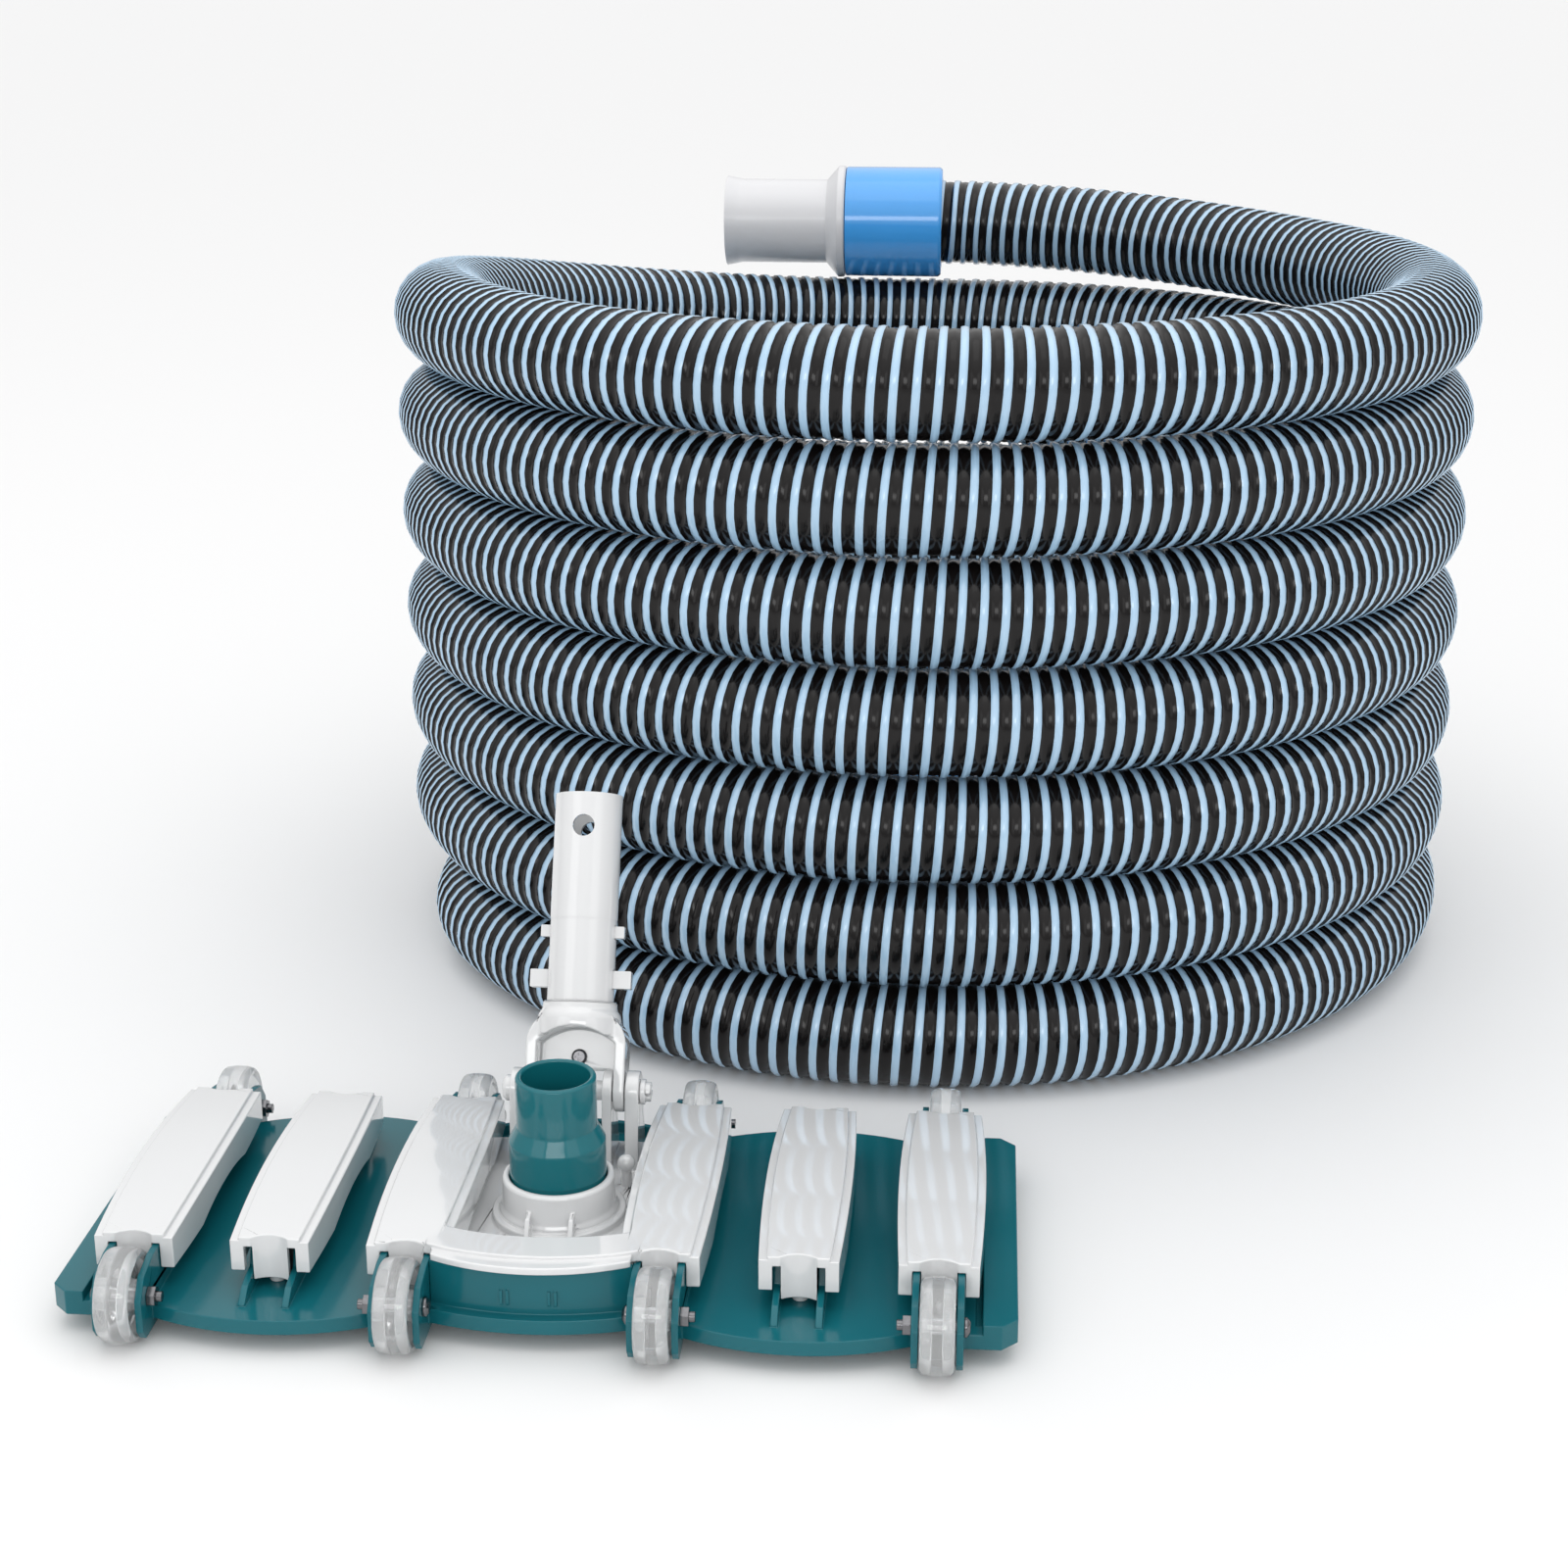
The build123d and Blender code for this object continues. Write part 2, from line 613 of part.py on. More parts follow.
cone_low = 49.0
cone_high = 55.0
seal_z = 26.0
with BuildPart() as swivel_connector:
    with BuildSketch(Plane.XZ):
        with BuildLine():
            Polyline(
                (LOWER_RADIUS - CONNECTOR_WALL, 14.4),
                (CUP_RADIUS - 0.5, 14.4),
                (CUP_RADIUS - 0.5, 17.2),
                (JOURNAL_RADIUS, 17.2),
                (JOURNAL_RADIUS, seal_z - 1),
                (JOURNAL_RADIUS - 1.2, seal_z - 1),
                (JOURNAL_RADIUS - 1.2, seal_z + 1),
                (JOURNAL_RADIUS, seal_z + 1),
                (JOURNAL_RADIUS, JOURNAL_TOP),
                (LOWER_RADIUS, JOURNAL_TOP),
                (LOWER_RADIUS, cone_low),
                (UPPER_RADIUS, cone_high),
                (UPPER_RADIUS, CONNECTOR_TOP - 0.8),
                (UPPER_RADIUS - 0.8, CONNECTOR_TOP),
                (UPPER_RADIUS - CONNECTOR_WALL + 0.6, CONNECTOR_TOP),
                (UPPER_RADIUS - CONNECTOR_WALL, CONNECTOR_TOP - 0.6),
                (UPPER_RADIUS - CONNECTOR_WALL, cone_high),
                (LOWER_RADIUS - CONNECTOR_WALL, cone_low),
                close=True,
            )
        make_face()
    revolve(axis=Axis.Z)
finish(swivel_connector, "swivel_connector")

with BuildPart() as swivel_seal:
    with Locations((0, 0, seal_z)):
        Torus(LOWER_RADIUS - 0.5, 0.8)
finish(swivel_seal, "swivel_seal")

with BuildPart() as retaining_ring:
    with BuildSketch(Plane.XY.offset(PLATE_BOTTOM + 0.5)):
        Circle(CUP_RADIUS - 0.05)
        Circle(THROAT_RADIUS, mode=Mode.SUBTRACT)
    extrude(amount=14.1 - PLATE_BOTTOM - 0.5)
finish(retaining_ring, "retaining_ring")

# ---------------------------------------------------------------- handle

lean = math.radians(HANDLE_LEAN)
handle_frame = Plane(
    origin=(0, PIVOT_Y, PIVOT_Z), x_dir=(1, 0, 0), z_dir=(0, math.sin(lean), math.cos(lean))
)
# side elevation of the handle: first axis across it, second along the tube, normal to the front
handle_front = Plane(origin=handle_frame.origin, x_dir=handle_frame.x_dir, z_dir=-handle_frame.y_dir)


def along_handle(distance):
    """Plane across the handle, at a distance from its pivot."""
    return handle_frame.offset(distance)


def handle_box(x_low, x_high, y_half, z_low, z_high, mode=Mode.ADD):
    """Box in the handle's own frame, centred across y."""
    with BuildSketch(along_handle(z_low)) as base:
        with Locations(((x_low + x_high) / 2, 0)):
            Rectangle(x_high - x_low, 2 * y_half)
    extrude(base.sketch, amount=z_high - z_low, mode=mode)


TUBE_START = 27.0
YOKE_TOP = 36.0
UPPER_TAB = (62.4, 67.4)
LOWER_TAB = (41.6, 49.0)
TAB_GAP = 0.4
YOKE_SCREW_AT = 13.6
PIN_LEFT = -26.6
PIN_RIGHT = 31.0

with BuildPart() as handle_yoke:
    # body seen from the front: two arms with round ends below round shoulders
    with BuildSketch(handle_front):
        with BuildLine():
            Line((ARM_OUTER_X, 0), (ARM_OUTER_X, 17))
            ThreePointArc((ARM_OUTER_X, 17), (18.2, 26), (12, 31))
            Line((12, 31), (-12, 31))
            ThreePointArc((-12, 31), (-18.2, 26), (-ARM_OUTER_X, 17))
            Line((-ARM_OUTER_X, 17), (-ARM_OUTER_X, 0))
            Line((-ARM_OUTER_X, 0), (ARM_OUTER_X, 0))
        make_face()
    extrude(amount=LUG_RADIUS, both=True)
    # round ends of the arms
    with BuildSketch(Plane.YZ.offset(-ARM_OUTER_X)):
        with Locations((PIVOT_Y, PIVOT_Z)):
            Circle(LUG_RADIUS)
    extrude(amount=2 * ARM_OUTER_X)
    # domed collar round the foot of the tube, with a bead at its top
    add(
        turned_piece(
            handle_frame,
            [
                (0, 22),
                (17.4, 22),
                (17.4, YOKE_TOP - 7.5),
                (17.0, YOKE_TOP - 5.6),
                (16.3, YOKE_TOP - 4.2),
                (15.4, YOKE_TOP - 3.2),
                (15.4, YOKE_TOP - 0.7),
                (14.9, YOKE_TOP),
                (0, YOKE_TOP),
            ],
        )
    )
    # recess from the front, which leaves a web at the back
    with BuildSketch(handle_front.offset(-4.8)):
        with BuildLine():
            Polyline((-ARM_INNER_X, 19), (-ARM_INNER_X, -12), (ARM_INNER_X, -12), (ARM_INNER_X, 19))
            ThreePointArc((ARM_INNER_X, 19), (0, 25.4), (-ARM_INNER_X, 19))
        make_face()
    extrude(amount=40, mode=Mode.SUBTRACT)
    # the gap between the arms goes right through below the web
    with BuildSketch(handle_front.offset(-20)):
        with Locations((0, -4)):
            Rectangle(2 * ARM_INNER_X, 24)
    extrude(amount=40, mode=Mode.SUBTRACT)
    with BuildSketch(along_handle(TUBE_START)):
        Circle(HANDLE_FOOT_RADIUS + 0.05)
    extrude(amount=30, mode=Mode.SUBTRACT)
    with BuildSketch(along_handle(TUBE_START - 1)):
        Circle(HANDLE_RADIUS - HANDLE_WALL - 0.1)
    extrude(amount=4)
    with Locations((0, PIVOT_Y, PIVOT_Z)):
        Cylinder(PIN_RADIUS + PIN_CLEARANCE, 80, rotation=(0, 90, 0), mode=Mode.SUBTRACT)
    with BuildSketch(handle_front.offset(-12)):
        with Locations((0, YOKE_SCREW_AT)):
            Circle(1.6)
    extrude(amount=20, mode=Mode.SUBTRACT)
finish(handle_yoke, "handle_yoke")

with BuildPart() as yoke_screw:
    with BuildSketch(handle_front.offset(-4.8)):
        with Locations((0, YOKE_SCREW_AT)):
            Circle(3.2)
    extrude(amount=1.0)
    with BuildSketch(handle_front.offset(-3.8)):
        with Locations((0, YOKE_SCREW_AT)):
            Circle(3.2)
    extrude(amount=0.9, taper=45)
    with BuildSketch(handle_front.offset(-8.4)):
        with Locations((0, YOKE_SCREW_AT)):
            Circle(1.5)
    extrude(amount=4)
    with BuildSketch(handle_front.offset(-3.9)):
        with Locations((0, YOKE_SCREW_AT)):
            Rectangle(3.4, 0.8)
            Rectangle(0.8, 3.4)
    extrude(amount=3, mode=Mode.SUBTRACT)
finish(yoke_screw, "yoke_screw")

with BuildPart() as handle_tube:
    with BuildSketch(along_handle(TUBE_START)):
        Circle(HANDLE_FOOT_RADIUS)
    extrude(amount=HANDLE_LENGTH - TUBE_START)
    with BuildSketch(along_handle(HANDLE_LENGTH - POLE_SEAT_FROM_END)):
        Circle(HANDLE_RADIUS)
    extrude(amount=POLE_SEAT_FROM_END)
    with BuildSketch(along_handle(TUBE_START)):
        Circle(HANDLE_RADIUS - HANDLE_WALL)
    extrude(amount=HANDLE_LENGTH, mode=Mode.SUBTRACT)
    chamfer(handle_tube.edges().sort_by(Axis.Z)[-1], 0.7)
    for low, high in (UPPER_TAB, LOWER_TAB):
        handle_box(-20, 20, 3 + TAB_GAP, low - TAB_GAP, high + TAB_GAP, mode=Mode.SUBTRACT)
    with BuildSketch(handle_front.offset(-20)):
        with Locations((0, HANDLE_LENGTH - LOCK_HOLE_FROM_END)):
            Circle(LOCK_HOLE_RADIUS)
    extrude(amount=40, mode=Mode.SUBTRACT)
finish(handle_tube, "handle_tube")

for side, name in ((-1, "clip_arm_left"), (1, "clip_arm_right")):
    with BuildPart() as clip_arm:
        for x_in, x_out, low, high in (
            (7.6, 9.6, 40.0, 70.0),
            (9.0, 17.4, *UPPER_TAB),
            (9.0, 21.0, *LOWER_TAB),
        ):
            edges = sorted((side * x_in, side * x_out))
            handle_box(edges[0], edges[1], 3.0, low, high)
    finish(clip_arm, name)

with BuildPart() as clip_spring:
    with BuildSketch(handle_front.offset(-2.5)):
        with BuildLine() as spring_line:
            Line((-9.0, 38.8), (-7.5, 35))
            ThreePointArc((-7.5, 35), (0, 31.0), (7.5, 35))
            Line((7.5, 35), (9.0, 38.8))
            offset(amount=0.5)
        make_face()
    extrude(amount=5)
finish(clip_spring, "clip_spring")

with BuildPart() as pivot_pin:
    with BuildSketch(Plane.YZ.offset(PIN_LEFT)):
        with Locations((PIVOT_Y, PIVOT_Z)):
            Circle(PIN_RADIUS)
    extrude(amount=PIN_RIGHT - PIN_LEFT)
    with BuildSketch(Plane.YZ.offset(PIN_LEFT)):
        with Locations((PIVOT_Y, PIVOT_Z)):
            Circle(5.4)
    extrude(amount=-2.2)
    with BuildSketch(Plane.YZ.offset(PIN_LEFT - 2.2)):
        with Locations((PIVOT_Y, PIVOT_Z)):
            Circle(5.4)
    extrude(amount=-1.4, taper=45)
    with Locations((PIN_RIGHT - 0.5, PIVOT_Y, PIVOT_Z)):
        Box(3.0, 20, 1.2, mode=Mode.SUBTRACT)
finish(pivot_pin, "pivot_pin")

with BuildPart() as pin_collar:
    with BuildSketch(Plane.YZ.offset(-PIN_LEFT)):
        with Locations((PIVOT_Y, PIVOT_Z)):
            Circle(5.2)
            Circle(PIN_RADIUS, mode=Mode.SUBTRACT)
    extrude(amount=2.2)
finish(pin_collar, "pin_collar")

# ---------------------------------------------------------------- hose

hose_r = HOSE_DIAMETER / 2
coil_axis = Axis((COIL_X, COIL_Y, 0), (0, 0, 1))


def bead_profile(levels):
    """Radial section of stacked hose turns: one disc for each level, joined by a web."""
    for level in levels:
        with Locations((COIL_RADIUS, (level + 0.5) * HOSE_DIAMETER)):
            Circle(hose_r)
    low = (min(levels) + 0.5) * HOSE_DIAMETER
    high = (max(levels) + 0.5) * HOSE_DIAMETER
    if high > low:
        with Locations((COIL_RADIUS, (low + high) / 2)):
            Rectangle(0.6 * hose_r, high - low)


def coil_plane(angle):
    """Vertical plane through the coil's axis, its first axis pointing outwards at an angle."""
    turn = math.radians(angle)
    return Plane(
        origin=(COIL_X, COIL_Y, 0),
        x_dir=(math.cos(turn), math.sin(turn), 0),
        z_dir=(math.sin(turn), -math.cos(turn), 0),
    )


with BuildPart() as hose_coil:
    with BuildSketch(coil_plane(0)):
        bead_profile(range(COIL_TURNS - 1))
    revolve(axis=coil_axis)
    # the last turn starts where the climb ends and stops at the back, under the sleeve
    with BuildSketch(coil_plane(200)):
        with Locations((COIL_RADIUS, (COIL_TURNS - 0.5) * HOSE_DIAMETER)):
            Circle(hose_r)
        with Locations((COIL_RADIUS, (COIL_TURNS - 1) * HOSE_DIAMETER)):
            Rectangle(0.6 * hose_r, HOSE_DIAMETER)
    revolve(axis=coil_axis, revolution_arc=250)
finish(hose_coil, "hose_coil")

# Foot of the hose: it leaves the lowest turn inwards and ends in a plain cuff on the floor.
# Points are (x, y, z), with x and y counted from the coil's axis.
PLAIN_SLEEVE_RADIUS = 28.0
CUFF_AXIS_Z = PLAIN_SLEEVE_RADIUS
HOSE_FOOT = [
    (-211.0, 10.0, hose_r),
    (-191.0, 74.0, hose_r),
    (-152.0, 125.0, hose_r),
    (-98.0, 162.0, hose_r + 0.6),
    (-37.0, 178.0, CUFF_AXIS_Z - 0.4),
    (20.0, 171.0, CUFF_AXIS_Z),
]


def bend_radii(points):
    """Arc radius at each corner of a route: as large as its two runs allow."""
    radii = []
    for before, at, after in zip(points, points[1:], points[2:]):
        run_in = Vector(*at) - Vector(*before)
        run_out = Vector(*after) - Vector(*at)
        half_turn = math.radians(run_in.get_angle(run_out)) / 2
        radii.append(0.45 * min(run_in.length, run_out.length) / math.tan(half_turn))
    return radii


foot_route = [(COIL_X + x, COIL_Y + y, z) for x, y, z in HOSE_FOOT]
foot_radii = bend_radii(foot_route)
print("hose foot bend radii", [round(radius) for radius in foot_radii])

with BuildPart() as hose_foot:
    with BuildLine():
        foot_path = FilletPolyline(*foot_route, radius=foot_radii)
    with BuildSketch(Plane(origin=foot_path @ 0, z_dir=foot_path % 0)):
        Circle(hose_r)
    sweep()
finish(hose_foot, "hose_foot")
print("hose foot length", round(foot_path.length, 1))
foot_volume = math.pi * hose_r**2 * foot_path.length
print("volume over section times length", round(hose_foot.part.volume / foot_volume, 4))

# Plain cuff on the foot: sleeve over the hose, then the white socket
foot_heading = Vector((foot_path % 1).X, (foot_path % 1).Y, 0).normalized()
plain_cuff = Plane(
    origin=(foot_route[-1][0], foot_route[-1][1], CUFF_AXIS_Z + 0.1),
    x_dir=(0, 0, 1),
    z_dir=(foot_heading.X, foot_heading.Y, 0),
)


SHORT_SLEEVE = 42.0
NOZZLE_LENGTH = 58.0
MOUTH_RADIUS = 26.5
MOUTH = SLEEVE_LENGTH + 12.5 + NOZZLE_LENGTH
with BuildPart() as plain_cuff_sleeve:
    add(
        turned_piece(
            plain_cuff,
            [
                (hose_r + 0.15, -SHORT_SLEEVE + 2),
                (hose_r + 1.6, -SHORT_SLEEVE),
                (PLAIN_SLEEVE_RADIUS - 0.6, -SHORT_SLEEVE),
                (PLAIN_SLEEVE_RADIUS, -SHORT_SLEEVE + 0.6),
                (PLAIN_SLEEVE_RADIUS, 7.4),
                (PLAIN_SLEEVE_RADIUS - 0.6, 8),
                (hose_r + 0.15, 8),
            ],
        )
    )
finish(plain_cuff_sleeve, "plain_cuff_sleeve")

with BuildPart() as plain_cuff_socket:
    add(
        turned_piece(
            plain_cuff,
            [
                (CUFF_BORE, 0.2),
                (hose_r, 0.2),
                (hose_r, 8),
                (PLAIN_SLEEVE_RADIUS - 0.8, 8),
                (PLAIN_SLEEVE_RADIUS - 0.8, 12),
                (PLAIN_SLEEVE_RADIUS - 3, 14),
                (23.6, 16),
                (23.6, NOZZLE_LENGTH - 6),
                (25.0, NOZZLE_LENGTH),
                (CUFF_BORE + 1.2, NOZZLE_LENGTH),
                (CUFF_BORE, NOZZLE_LENGTH - 1.2),
            ],
        )
    )
finish(plain_cuff_socket, "plain_cuff_socket")

# Swivel cuff at the top end, on an axis that runs towards -X from the back of the coil
swivel_cuff = Plane(
    origin=(COIL_X, COIL_Y + COIL_RADIUS, (COIL_TURNS - 0.5) * HOSE_DIAMETER + CUFF_LIFT),
    x_dir=(0, 0, 1),
    z_dir=(-1, 0, 0),
)
HOSE_INSERT = 38.0
with BuildPart() as hose_end:
    add(
        turned_piece(
            swivel_cuff,
            [
                (0, 0),
                (hose_r, 0),
                (hose_r, HOSE_INSERT),
                (HOSE_INNER_RADIUS, HOSE_INSERT),
                (HOSE_INNER_RADIUS, HOSE_INSERT - 20),
                (0, HOSE_INSERT - 20),
            ],
        )
    )
finish(hose_end, "hose_end")

with BuildPart() as cuff_sleeve:
    add(
        turned_piece(
            swivel_cuff,
            [
                (hose_r + 0.1, 3),
                (hose_r + 2.5, 0),
                (SLEEVE_RADIUS - 1.2, 0),
                (SLEEVE_RADIUS, 1.6),
                (SLEEVE_RADIUS, SLEEVE_LENGTH),
                (24.2, SLEEVE_LENGTH),
                (24.2, SLEEVE_LENGTH - 4),
                (27.2, SLEEVE_LENGTH - 4),
                (27.2, HOSE_INSERT + 3.2),
                (hose_r + 0.1, HOSE_INSERT + 3.2),
            ],
        )
    )
finish(cuff_sleeve, "cuff_sleeve")

with BuildPart() as cuff_washer:
    add(
        turned_piece(
            swivel_cuff,
            [
                (CUFF_BORE, HOSE_INSERT),
                (hose_r, HOSE_INSERT),
                (hose_r, HOSE_INSERT + 2.4),
                (CUFF_BORE, HOSE_INSERT + 2.4),
            ],
        )
    )
finish(cuff_washer, "cuff_washer")

with BuildPart() as cuff_nozzle:
    add(
        turned_piece(
            swivel_cuff,
            [
                (CUFF_BORE, HOSE_INSERT + 3.0),
                (23.2, HOSE_INSERT + 3.0),
                (23.2, HOSE_INSERT + 3.6),
                (26.8, HOSE_INSERT + 3.6),
                (26.8, SLEEVE_LENGTH - 4.4),
                (23.8, SLEEVE_LENGTH - 4.4),
                (23.8, SLEEVE_LENGTH + 0.4),
                (SLEEVE_RADIUS - 0.4, SLEEVE_LENGTH + 0.4),
                (SLEEVE_RADIUS + 0.6, SLEEVE_LENGTH + 1.6),
                (SLEEVE_RADIUS + 0.6, SLEEVE_LENGTH + 4.6),
                (24.0, SLEEVE_LENGTH + 11.5),
                (24.0, MOUTH - 9),
                (MOUTH_RADIUS - 0.6, MOUTH),
                (MOUTH_RADIUS - 2.4, MOUTH),
                (CUFF_BORE, MOUTH - 5),
            ],
        )
    )
finish(cuff_nozzle, "cuff_nozzle")
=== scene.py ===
"""Looks of the pool vacuum head and of its coiled hose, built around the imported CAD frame.

Metres, in the frame's own axes: the origin is on the floor between the wheels, +X to the right
along the plate, +Y towards the handle and the hose, +Z up.
"""

import json
import math

import bmesh
import bpy
import numpy as np
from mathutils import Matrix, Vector


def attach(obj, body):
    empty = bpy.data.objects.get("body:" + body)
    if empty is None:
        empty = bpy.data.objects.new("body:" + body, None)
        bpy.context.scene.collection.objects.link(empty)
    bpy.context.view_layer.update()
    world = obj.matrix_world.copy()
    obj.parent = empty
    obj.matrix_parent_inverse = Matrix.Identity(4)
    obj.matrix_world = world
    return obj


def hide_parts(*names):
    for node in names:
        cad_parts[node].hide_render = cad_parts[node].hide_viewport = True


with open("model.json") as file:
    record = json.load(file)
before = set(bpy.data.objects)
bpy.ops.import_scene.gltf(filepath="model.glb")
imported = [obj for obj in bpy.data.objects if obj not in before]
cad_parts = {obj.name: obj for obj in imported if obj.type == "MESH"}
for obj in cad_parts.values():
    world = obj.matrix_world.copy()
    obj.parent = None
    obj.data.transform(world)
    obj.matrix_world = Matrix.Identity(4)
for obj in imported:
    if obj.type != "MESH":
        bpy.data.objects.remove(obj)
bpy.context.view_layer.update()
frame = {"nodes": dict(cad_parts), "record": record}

nodes = frame["nodes"]
record = frame["record"]
BODY_OF = {
    node: body for body, names in record["behaviour"]["bodies"].items() for node in names
}
SLOT_OF = {part["node"]: part["material_slot"] for part in record["subparts"]}
MM = 0.001

# ---------------------------------------------------------------- camera, lights, floor

CAMERA_AT = Vector((159.5, -933.0, 516.5)) * MM
CAMERA_PAN = math.radians(-4.3)
CAMERA_TILT = math.radians(18.8)
CAMERA_LENS = 60.9
CAMERA_SENSOR = 36.0

LOW_SKY = (0.50, 0.50, 0.505, 1.0)
HIGH_SKY = (1.45, 1.45, 1.45, 1.0)
LIT_MIDDLE = (0.1, 0.3, 0.12)
FLOOR_REACH = 30.0
FLOOR_DROP = 0.3 * MM
FLOOR_COLOUR = (0.82, 0.82, 0.82, 1.0)


def add_camera():
    """The camera: ahead of the plate and above it, looking slightly left and down."""
    camera = bpy.data.objects.new("camera", bpy.data.cameras.new("camera"))
    camera.data.lens = CAMERA_LENS
    camera.data.sensor_width = CAMERA_SENSOR
    camera.data.clip_start = 10 * MM
    camera.location = CAMERA_AT
    heading = Vector(
        (
            math.sin(CAMERA_PAN) * math.cos(CAMERA_TILT),
            math.cos(CAMERA_PAN) * math.cos(CAMERA_TILT),
            -math.sin(CAMERA_TILT),
        )
    )
    camera.rotation_euler = heading.to_track_quat("-Z", "Y").to_euler()
    bpy.context.collection.objects.link(camera)
    bpy.context.scene.camera = camera


def add_sky():
    """Pale surroundings that brighten from below to above."""
    world = bpy.data.worlds.new("studio")
    world.use_nodes = True
    tree = world.node_tree
    coordinates = tree.nodes.new("ShaderNodeTexCoord")
    split = tree.nodes.new("ShaderNodeSeparateXYZ")
    ramp = tree.nodes.new("ShaderNodeValToRGB")
    low, high = ramp.color_ramp.elements
    low.color = LOW_SKY
    high.color = HIGH_SKY
    tree.links.new(coordinates.outputs["Generated"], split.inputs["Vector"])
    tree.links.new(split.outputs["Z"], ramp.inputs["Fac"])
    tree.links.new(ramp.outputs["Color"], tree.nodes["Background"].inputs["Color"])
    bpy.context.scene.world = world


def add_soft_box(name, place, width, height, brightness):
    """A rectangular soft box of a given brightness at a place, facing the object."""
    data = bpy.data.lights.new(name, "AREA")
    data.shape = "RECTANGLE"
    data.size = width
    data.size_y = height
    data.energy = brightness * math.pi * width * height
    light = bpy.data.objects.new(name, data)
    light.location = place
    light.rotation_euler = (Vector(LIT_MIDDLE) - Vector(place)).to_track_quat("-Z", "Y").to_euler()
    bpy.context.collection.objects.link(light)


def add_floor():
    """A pale floor just under the wheels."""
    mesh = bpy.data.meshes.new("floor")
    corners = [
        (-FLOOR_REACH, -FLOOR_REACH, 0),
        (FLOOR_REACH, -FLOOR_REACH, 0),
        (FLOOR_REACH, FLOOR_REACH, 0),
        (-FLOOR_REACH, FLOOR_REACH, 0),
    ]
    mesh.from_pydata(corners, [], [(0, 1, 2, 3)])
    floor = bpy.data.objects.new("floor", mesh)
    floor.location.z = -FLOOR_DROP
    material, _, shader = new_material("floor_paint")
    shader.inputs["Base Color"].default_value = FLOOR_COLOUR
    shader.inputs["Roughness"].default_value = 0.6
    floor.data.materials.append(material)
    bpy.context.collection.objects.link(floor)


# ---------------------------------------------------------------- materials

# the part of a noise field's range that colour and roughness drift over
FIELD_LOW = 0.3
FIELD_HIGH = 0.7
SKIN_RELIEF = 0.0015 * MM
COAT_ROUGHNESS = 0.03


def new_material(name):
    """An empty material: its tree and its shader come with it."""
    material = bpy.data.materials.new(name)
    material.use_nodes = True
    return material, material.node_tree, material.node_tree.nodes["Principled BSDF"]


def noise(tree, size, detail=3.0, stretch=(1, 1, 1)):
    """Noise in object space, whose features are about size metres long."""
    coordinates = tree.nodes.new("ShaderNodeTexCoord")
    mapping = tree.nodes.new("ShaderNodeMapping")
    mapping.inputs["Scale"].default_value = [factor / size for factor in stretch]
    texture = tree.nodes.new("ShaderNodeTexNoise")
    texture.inputs["Scale"].default_value = 1.0
    texture.inputs["Detail"].default_value = detail
    texture.inputs["Roughness"].default_value = 0.5
    tree.links.new(coordinates.outputs["Object"], mapping.inputs["Vector"])
    tree.links.new(mapping.outputs["Vector"], texture.inputs["Vector"])
    return texture.outputs["Fac"]


def vary_colour(tree, shader, field, colour, spread):
    """Base colour that drifts by a share of itself with a noise field."""
    ramp = tree.nodes.new("ShaderNodeValToRGB")
    low, high = ramp.color_ramp.elements
    low.position = FIELD_LOW
    high.position = FIELD_HIGH
    low.color = [channel * (1 - spread) for channel in colour] + [1.0]
    high.color = [min(1.0, channel * (1 + spread)) for channel in colour] + [1.0]
    tree.links.new(field, ramp.inputs["Fac"])
    tree.links.new(ramp.outputs["Color"], shader.inputs["Base Color"])


def vary_roughness(tree, shader, field, low, high):
    """Roughness that drifts between two values with a noise field."""
    spread = tree.nodes.new("ShaderNodeMapRange")
    spread.inputs["From Min"].default_value = FIELD_LOW
    spread.inputs["From Max"].default_value = FIELD_HIGH
    spread.inputs["To Min"].default_value = low
    spread.inputs["To Max"].default_value = high
    tree.links.new(field, spread.inputs["Value"])
    tree.links.new(spread.outputs["Result"], shader.inputs["Roughness"])


def add_bump(tree, shader, field, height, strength=0.5):
    """Surface relief from a field, as high as height metres at full strength."""
    bump = tree.nodes.new("ShaderNodeBump")
    bump.inputs["Strength"].default_value = strength
    bump.inputs["Distance"].default_value = height
    tree.links.new(field, bump.inputs["Height"])
    tree.links.new(bump.outputs["Normal"], shader.inputs["Normal"])


def plastic(name, colour, gloss, spread=0.03, specular=0.5, coat=0.0):
    """Moulded plastic: a faint drift of colour and gloss, and a fine orange-peel skin."""
    material, tree, shader = new_material(name)
    vary_colour(tree, shader, noise(tree, 50 * MM), colour, spread)
    vary_roughness(tree, shader, noise(tree, 60 * MM, detail=2.0), *gloss)
    add_bump(tree, shader, noise(tree, 0.9 * MM, detail=2.0), SKIN_RELIEF)
    shader.inputs["Specular IOR Level"].default_value = specular
    shader.inputs["Coat Weight"].default_value = coat
    shader.inputs["Coat Roughness"].default_value = COAT_ROUGHNESS
    return material


def clear_plastic(name):
    """Clear moulded plastic, slightly milky, with flow lines round it."""
    material, tree, shader = new_material(name)
    clouds = noise(tree, 8 * MM, stretch=(0.5, 2, 2))
    vary_colour(tree, shader, clouds, (0.96, 0.97, 0.975), 0.02)
    vary_roughness(tree, shader, noise(tree, 6 * MM), 0.02, 0.12)
    add_bump(tree, shader, noise(tree, 7 * MM, stretch=(2, 1, 1)), 0.1 * MM, strength=0.4)
    shader.inputs["Transmission Weight"].default_value = 0.76
    shader.inputs["IOR"].default_value = 1.46
    return material


